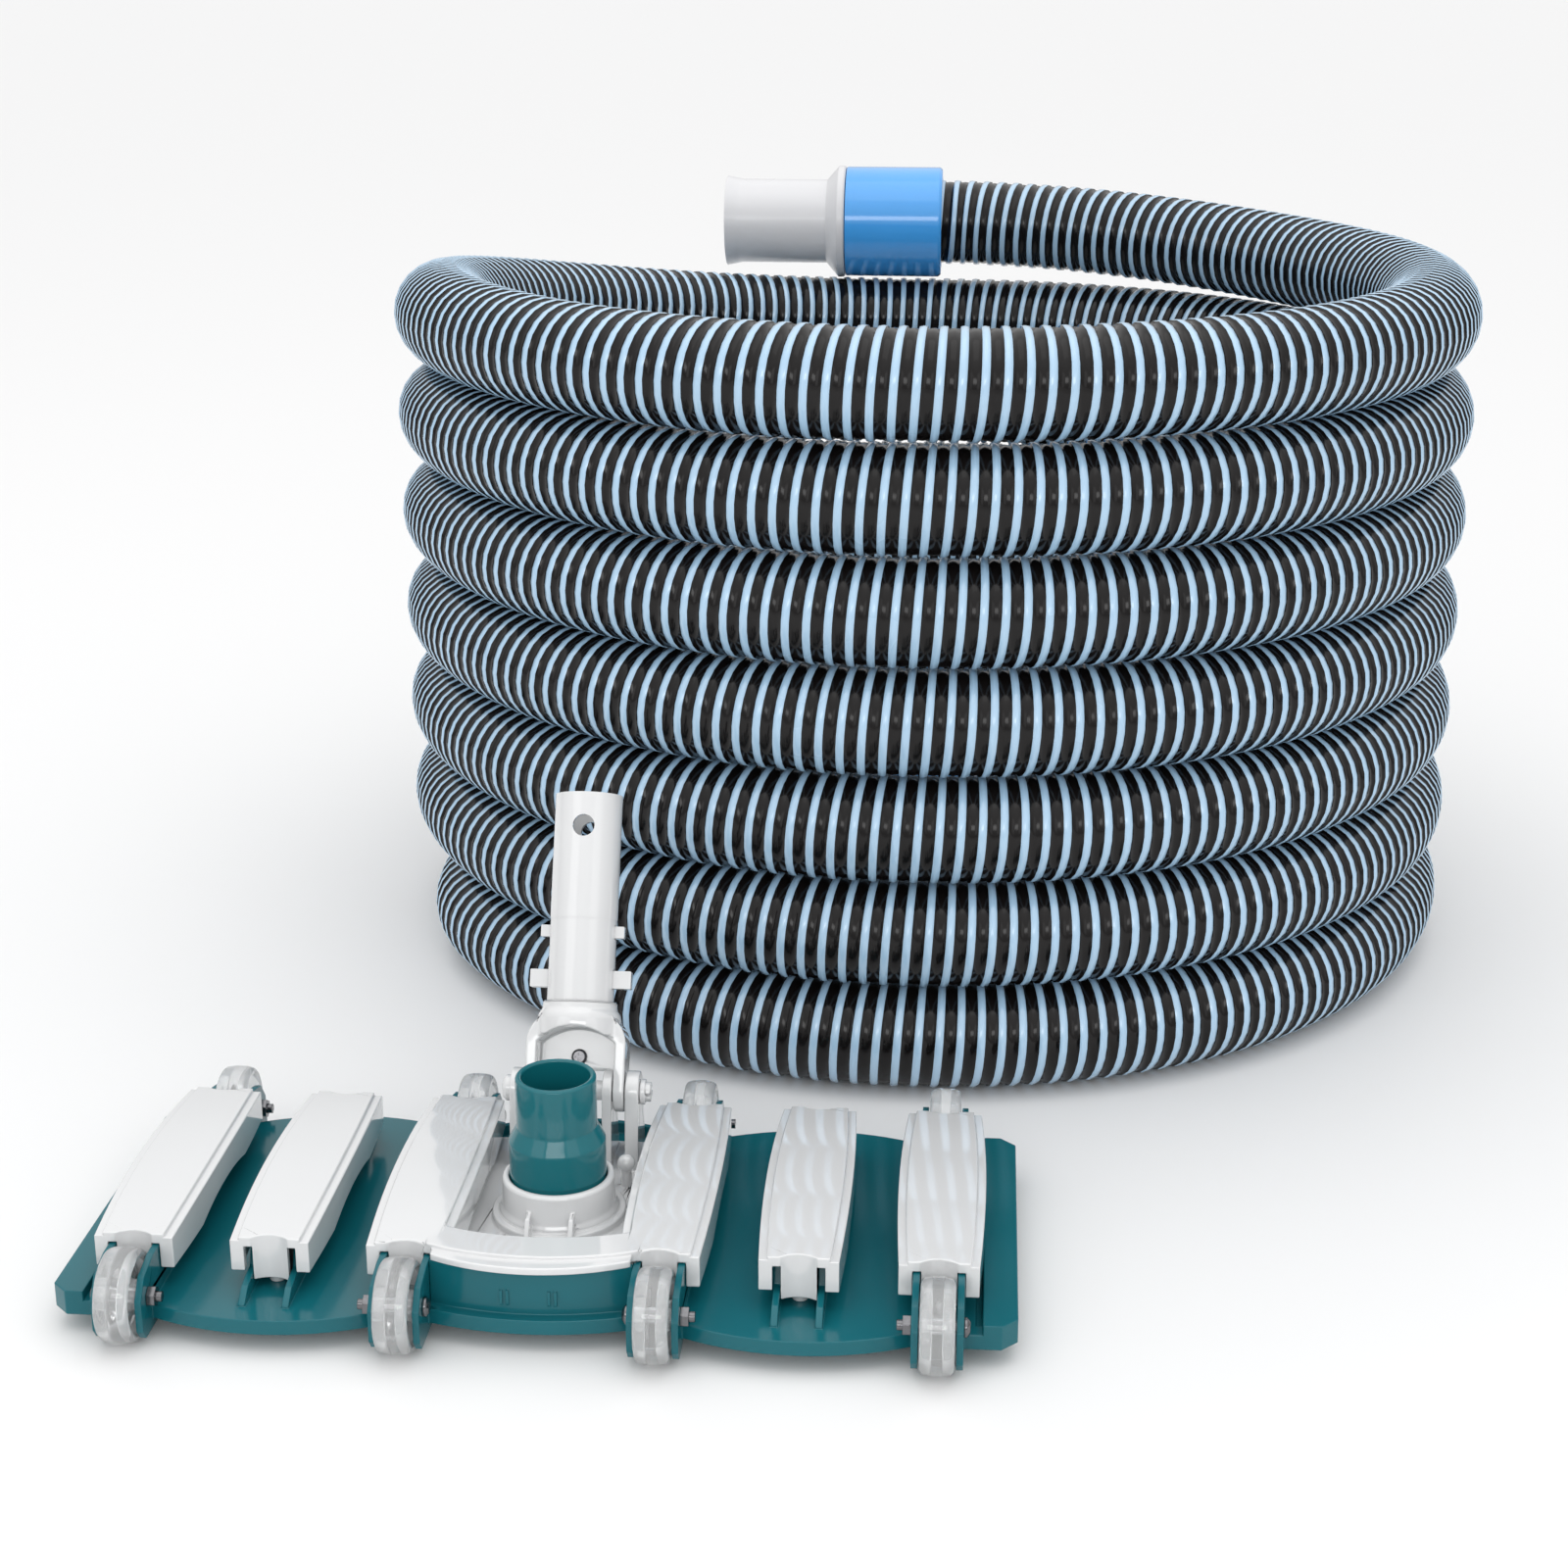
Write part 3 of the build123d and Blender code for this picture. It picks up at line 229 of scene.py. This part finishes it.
def bright_metal(name, colour, gloss):
    """Plated metal with fine scratches."""
    material, tree, shader = new_material(name)
    vary_colour(tree, shader, noise(tree, 2 * MM), colour, 0.08)
    vary_roughness(tree, shader, noise(tree, 0.8 * MM, stretch=(4, 1, 1)), *gloss)
    add_bump(tree, shader, noise(tree, 0.3 * MM), 0.01 * MM)
    shader.inputs["Metallic"].default_value = 1.0
    return material


def rough_iron(name):
    """Cast iron with a coarse, dull skin."""
    material, tree, shader = new_material(name)
    vary_colour(tree, shader, noise(tree, 4 * MM, detail=6.0), (0.1, 0.1, 0.105), 0.35)
    vary_roughness(tree, shader, noise(tree, 2 * MM), 0.6, 0.85)
    add_bump(tree, shader, noise(tree, 1.2 * MM, detail=5.0), 0.2 * MM)
    shader.inputs["Metallic"].default_value = 0.6
    return material


def dull_rubber(name):
    """Black rubber with a dusty skin."""
    material, tree, shader = new_material(name)
    vary_colour(tree, shader, noise(tree, 5 * MM), (0.016, 0.016, 0.017), 0.25)
    vary_roughness(tree, shader, noise(tree, 2 * MM), 0.6, 0.8)
    add_bump(tree, shader, noise(tree, 0.5 * MM), 0.05 * MM)
    return material


MATERIALS = {
    "teal_vinyl": plastic(
        "teal_vinyl", (0.006, 0.118, 0.145), gloss=(0.14, 0.18), spread=0.04, specular=0.33
    ),
    "teal_plastic": plastic(
        "teal_plastic", (0.006, 0.132, 0.158), gloss=(0.07, 0.12), specular=0.42
    ),
    "white_plastic": plastic(
        "white_plastic", (0.67, 0.675, 0.68), gloss=(0.07, 0.1), spread=0.01, coat=1.0
    ),
    "clear_acrylic": clear_plastic("clear_acrylic"),
    "chrome": bright_metal("chrome", (0.17, 0.17, 0.178), gloss=(0.12, 0.24)),
    "spring_steel": bright_metal("spring_steel", (0.5, 0.5, 0.52), gloss=(0.25, 0.4)),
    "black_rubber": dull_rubber("black_rubber"),
    "ballast_iron": rough_iron("ballast_iron"),
    "hose_plastic": plastic(
        "hose_plastic", (0.006, 0.005, 0.005), gloss=(0.11, 0.17), spread=0.2, specular=0.27
    ),
    "hose_rib": plastic(
        "hose_rib", (0.37, 0.56, 0.74), gloss=(0.2, 0.28), specular=0.9, coat=0.7
    ),
    "blue_plastic": plastic("blue_plastic", (0.06, 0.36, 0.84), gloss=(0.1, 0.16), coat=0.7),
    "cuff_white": plastic(
        "cuff_white", (0.68, 0.68, 0.695), gloss=(0.25, 0.34), spread=0.012, coat=0.2
    ),
}

# ---------------------------------------------------------------- pieces

SAME_POINT = 0.002 * MM
ROUNDING_STEPS = 3
ROUNDED_ABOVE = math.radians(20)
SHARP_ABOVE = math.radians(35)
TURNING_STEPS = 96


def place(piece, stands_for):
    """Link a piece, give it its finish, and let it ride in place of CAD nodes of one body."""
    slot = SLOT_OF[stands_for[0]]
    if not piece.data.materials:
        piece.data.materials.append(MATERIALS[slot])
    bpy.context.collection.objects.link(piece)
    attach(piece, BODY_OF[stands_for[0]])
    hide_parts(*stands_for)
    return piece


def softened(node, width):
    """A copy of a CAD node with its edges rounded where they are sharper than an angle."""
    mesh = nodes[node].data.copy()
    mesh.materials.clear()
    mesh.materials.append(MATERIALS[SLOT_OF[node]])
    shell = bmesh.new()
    shell.from_mesh(mesh)
    bmesh.ops.remove_doubles(shell, verts=shell.verts, dist=SAME_POINT)
    for face in shell.faces:
        face.smooth = True
        face.material_index = 0
    shell.to_mesh(mesh)
    shell.free()
    piece = bpy.data.objects.new(f"{node}_moulded", mesh)
    rounding = piece.modifiers.new("rounding", "BEVEL")
    rounding.width = width
    rounding.segments = ROUNDING_STEPS
    rounding.limit_method = "ANGLE"
    rounding.angle_limit = ROUNDED_ABOVE
    rounding.use_clamp_overlap = False
    piece.modifiers.new("even_normals", "WEIGHTED_NORMAL").keep_sharp = True
    return place(piece, [node])


def face_outwards(mesh):
    """Turn the faces of a mesh so that they all face outwards."""
    shell = bmesh.new()
    shell.from_mesh(mesh)
    bmesh.ops.recalc_face_normals(shell, faces=shell.faces)
    shell.to_mesh(mesh)
    shell.free()


def turned(name, stands_for, origin, axis, profile):
    """A closed body turned about an axis: its profile is (radius, distance along) corners."""
    axis = Vector(axis).normalized()
    across = axis.orthogonal().normalized()
    other = axis.cross(across)
    count = len(profile)
    points = []
    faces = []
    for step in range(TURNING_STEPS):
        angle = 2 * math.pi * step / TURNING_STEPS
        outwards = math.cos(angle) * across + math.sin(angle) * other
        points += [Vector(origin) + along * axis + radius * outwards for radius, along in profile]
        here = step * count
        ahead = (step + 1) % TURNING_STEPS * count
        for corner in range(count):
            after = (corner + 1) % count
            faces.append((here + corner, here + after, ahead + after, ahead + corner))
    mesh = bpy.data.meshes.new(name)
    mesh.from_pydata(points, [], faces)
    for face in mesh.polygons:
        face.use_smooth = True
    face_outwards(mesh)
    mesh.set_sharp_from_angle(angle=SHARP_ABOVE)
    return place(bpy.data.objects.new(name, mesh), stands_for)


def rounded(profile, radius):
    """A closed profile with its corners cut by small arcs."""
    points = []
    count = len(profile)
    for index in range(count):
        before = Vector(profile[index - 1])
        corner = Vector(profile[index])
        after = Vector(profile[(index + 1) % count])
        to_before = before - corner
        to_after = after - corner
        cut = min(radius, 0.4 * to_before.length, 0.4 * to_after.length)
        start = corner + to_before.normalized() * cut
        end = corner + to_after.normalized() * cut
        for step in range(ROUNDING_STEPS + 1):
            t = step / ROUNDING_STEPS
            point = (1 - t) ** 2 * start + 2 * t * (1 - t) * corner + t * t * end
            points.append((point.x, point.y))
    return points


# ---------------------------------------------------------------- hose

HOSE_RADIUS = 24.5 * MM
COIL_X = 133.5 * MM
COIL_Y = 409.0 * MM
COIL_RADIUS = 244.0 * MM
COIL_TURNS = 7
TURN_POINTS = 24
# angles in degrees: where each turn starts, and where it climbs onto the turn below
TURN_START = 205
CLIMB_START = 95
CLIMB_END = 205
COIL_END = 90 + 360 * COIL_TURNS
CUFF_LIFT = 8.0 * MM
LIFT_ANGLE = 60
HOSE_END_DEPTH = 38.0 * MM

# the foot, from the plain cuff back to the first turn, counted from the coil's axis
HOSE_FOOT = [
    (20.0, 171.0, 28.0),
    (-37.0, 178.0, 27.6),
    (-98.0, 162.0, 25.1),
    (-152.0, 125.0, 24.5),
    (-188.0, 73.0, 24.5),
    (-211.0, 10.0, 24.5),
    (-224.5, -42.0, 24.5),
]

RIB_PITCH = 8.5 * MM
RIB_TOP = 24.3 * MM
AROUND = 24
# one pitch of the wall: share of the pitch, and how far the wall lies under the rib's top
RIB_WALL = [
    (0.00, 1.3 * MM),
    (0.03, 0.3 * MM),
    (0.22, 0.0),
    (0.41, 0.3 * MM),
    (0.44, 1.3 * MM),
    (0.72, 0.95 * MM),
]
# the strips of the wall that are the rib's crown, which take the pale rib finish; the rib's flanks
# take the black wall finish as painted shade
RIB_CROWN = (1, 2)
LINE_STEPS = 12
SHORTEST_STEP = 0.0001 * MM


def hose_height(angle):
    """Height of the hose's line at an angle in degrees that runs on from turn to turn."""
    turns_done = math.floor((angle - TURN_START) / 360)
    in_turn = (angle - TURN_START) % 360 + TURN_START
    share = (in_turn - CLIMB_START - 360) / (CLIMB_END - CLIMB_START)
    climb = 0.5 - 0.5 * math.cos(math.pi * min(max(share, 0.0), 1.0))
    lift = min(max((angle - COIL_END + LIFT_ANGLE) / LIFT_ANGLE, 0.0), 1.0)
    lift = CUFF_LIFT * lift * lift * (3 - 2 * lift)
    return HOSE_RADIUS + 2 * HOSE_RADIUS * (turns_done + climb) + lift


def hose_route():
    """Control points of the hose, from the swivel cuff round the coil to the foot's plain cuff."""
    route = [Vector((COIL_X + x * MM, COIL_Y + y * MM, z * MM)) for x, y, z in HOSE_FOOT]
    step = 360 / TURN_POINTS
    # the spline cuts its corners, so the corners lie outside the coil's radius
    reach = COIL_RADIUS / ((3 + math.cos(math.radians(step))) / 4)
    for index in range(int((COIL_END - TURN_START) / step) + 1):
        angle = TURN_START + index * step
        turn = math.radians(angle)
        x = COIL_X + reach * math.cos(turn)
        y = COIL_Y + reach * math.sin(turn)
        route.append(Vector((x, y, hose_height(angle))))
    top = hose_height(COIL_END)
    for share in (0.2, 1.0):
        route.append(Vector((COIL_X - share * HOSE_END_DEPTH, COIL_Y + COIL_RADIUS, top)))
    return route[::-1]


def smooth_line(route):
    """Points along the NURBS spline of a route, without repeated ones."""
    curve = bpy.data.curves.new("hose_line", "CURVE")
    curve.dimensions = "3D"
    spline = curve.splines.new("NURBS")
    spline.points.add(len(route) - 1)
    for point, place_at in zip(spline.points, route):
        point.co = (*place_at, 1.0)
    spline.order_u = 3
    spline.use_endpoint_u = True
    spline.resolution_u = LINE_STEPS
    holder = bpy.data.objects.new("hose_line", curve)
    bpy.context.collection.objects.link(holder)
    bpy.context.view_layer.update()
    mesh = bpy.data.meshes.new_from_object(holder)
    line = np.array([vertex.co for vertex in mesh.vertices])
    bpy.data.objects.remove(holder)
    bpy.data.meshes.remove(mesh)
    steps = np.linalg.norm(np.diff(line, axis=0), axis=1)
    return line[np.concatenate([[True], steps > SHORTEST_STEP])]


def along_line(values, reached, at):
    """Values that belong to points of a line, read at other lengths along it."""
    return np.stack([np.interp(at, reached, values[:, axis]) for axis in range(3)], axis=-1)


def wall_points(line, reached, heading, pitch, winding):
    """Points of the wall: one strand for each corner of RIB_WALL, wound round the line."""
    offsets = np.array([share for share, _ in RIB_WALL])
    radii = np.array([RIB_TOP - depth for _, depth in RIB_WALL])
    along = pitch * (offsets[:, None] + winding[None, :] / AROUND)
    centre = along_line(line, reached, along)
    ahead = along_line(heading, reached, along)
    side = np.cross(ahead, (0.0, 0.0, 1.0))
    side /= np.linalg.norm(side, axis=-1)[..., None]
    up = np.cross(side, ahead)
    angle = 2 * math.pi * winding / AROUND
    outwards = np.cos(angle)[None, :, None] * side + np.sin(angle)[None, :, None] * up
    return centre + radii[:, None, None] * outwards


def wall_faces(count):
    """Faces between the strands of count points each, and which finish each face has: the black
    wall finish on the rib's flanks is painted shade.
    """
    strands = len(RIB_WALL)
    index = np.arange(strands * count).reshape(strands, count)
    faces = []
    finish = []
    for strand in range(strands):
        if strand < strands - 1:
            near, far = index[strand], index[strand + 1]
        else:
            near, far = index[strand][:-AROUND], index[0][AROUND:]
        faces.append(np.stack([near[:-1], near[1:], far[1:], far[:-1]], axis=1))
        # only the crown strips are pale; the rib's flanks take the black wall finish as painted
        # shade
        finish += [1 if strand in RIB_CROWN else 0] * (len(near) - 1)
    return np.concatenate(faces), finish


def ribbed_hose():
    """The whole hose, a wall with one pale rib that winds round it, and its path and length; the
    rib's flanks are painted shade in the wall's black.
    """
    line = smooth_line(hose_route())
    reached = np.concatenate([[0.0], np.cumsum(np.linalg.norm(np.diff(line, axis=0), axis=1))])
    length = reached[-1]
    heading = np.gradient(line, reached, axis=0)
    heading /= np.linalg.norm(heading, axis=1)[:, None]

    pitches = int(length / RIB_PITCH) - 1
    winding = np.arange(pitches * AROUND + 1)
    points = wall_points(line, reached, heading, length / (pitches + 1), winding)
    faces, finish = wall_faces(len(winding))
    mesh = bpy.data.meshes.new("suction_hose")
    mesh.from_pydata(points.reshape(-1, 3).tolist(), [], faces.tolist())
    mesh.materials.append(MATERIALS["hose_plastic"])
    mesh.materials.append(MATERIALS["hose_rib"])
    # material 0, the black wall, also covers the rib's flanks as painted shade
    mesh.polygons.foreach_set("material_index", finish)
    mesh.polygons.foreach_set("use_smooth", [True] * len(mesh.polygons))
    face_outwards(mesh)
    hose = place(bpy.data.objects.new("suction_hose", mesh), ["hose_coil", "hose_foot", "hose_end"])
    path = along_line(line, reached, np.linspace(0.0, length, pitches))
    return hose, path.tolist(), length


# ---------------------------------------------------------------- wheels

# where the hubs' middles are, in millimetres
AXLE_HEIGHT = 18.0
AXLE_Y = {"front": -80.0, "rear": 80.0}
WHEEL_X = {"far_left": -151.5, "left": -47.75, "right": 47.75, "far_right": 151.5}
WHEEL_ROUNDING = 0.7 * MM
# half of the wheel's section, from the bore out to the tread: radius, distance from the middle
WHEEL_HALF = [
    (2.05 * MM, 6.5 * MM),
    (5.6 * MM, 6.5 * MM),
    (6.4 * MM, 1.7 * MM),
    (13.6 * MM, 1.7 * MM),
    (14.2 * MM, 6.5 * MM),
    (15.9 * MM, 6.5 * MM),
    (17.2 * MM, 5.6 * MM),
    (17.75 * MM, 3.6 * MM),
    (17.95 * MM, 1.4 * MM),
]


def clear_wheels():
    """The eight clear wheels, each with a hub, a thin web and a crowned rim."""
    mirrored = [(radius, -along) for radius, along in WHEEL_HALF]
    section = rounded(mirrored + WHEEL_HALF[::-1], WHEEL_ROUNDING)
    for end, y in AXLE_Y.items():
        for spot, x in WHEEL_X.items():
            node = f"wheel_{end}_{spot}"
            hub = Vector((x, y, AXLE_HEIGHT)) * MM
            turned(f"{node}_clear", [node], hub, (1, 0, 0), section)


# ---------------------------------------------------------------- the whole scene

SOFT_BOXES = [
    ("left_box", (-1.5, -1.7, 1.0), 1.3, 1.3, 0.8),
    ("right_box", (1.7, -1.5, 0.9), 1.2, 1.2, 0.6),
    ("top_box", (0.1, 0.1, 2.2), 1.8, 1.8, 0.5),
    ("strip", (0.15, -1.9, 0.95), 1.6, 0.4, 3.6),
]

# how far the edges of moulded and pressed pieces are rounded
EDGE_ROUNDING = [
    (0.5 * MM, ("rib_cover_1", "rib_cover_2", "rib_cover_5", "rib_cover_6")),
    (0.7 * MM, ("centre_frame",)),
    (0.5 * MM, ("flex_plate",)),
    (0.9 * MM, ("handle_yoke",)),
    (0.45 * MM, ("clip_arm_left", "clip_arm_right", "pivot_pin", "pin_collar")),
    (0.4 * MM, ("swivel_connector", "cuff_nozzle", "cuff_sleeve")),
    (0.25 * MM, ("axle_bolts", "axle_nuts")),
]

add_camera()
add_sky()
for soft_box in SOFT_BOXES:
    add_soft_box(*soft_box)
add_floor()

hose, hose_path, hose_length = ribbed_hose()
clear_wheels()
for width, names in EDGE_ROUNDING:
    for name in names:
        softened(name, width)

# the CAD nodes that still show keep their meshes and take the finishes above
for node, piece in nodes.items():
    if not piece.hide_render:
        piece.data.materials.clear()
        piece.data.materials.append(MATERIALS[SLOT_OF[node]])

bpy.context.scene.view_settings.view_transform = "Standard"
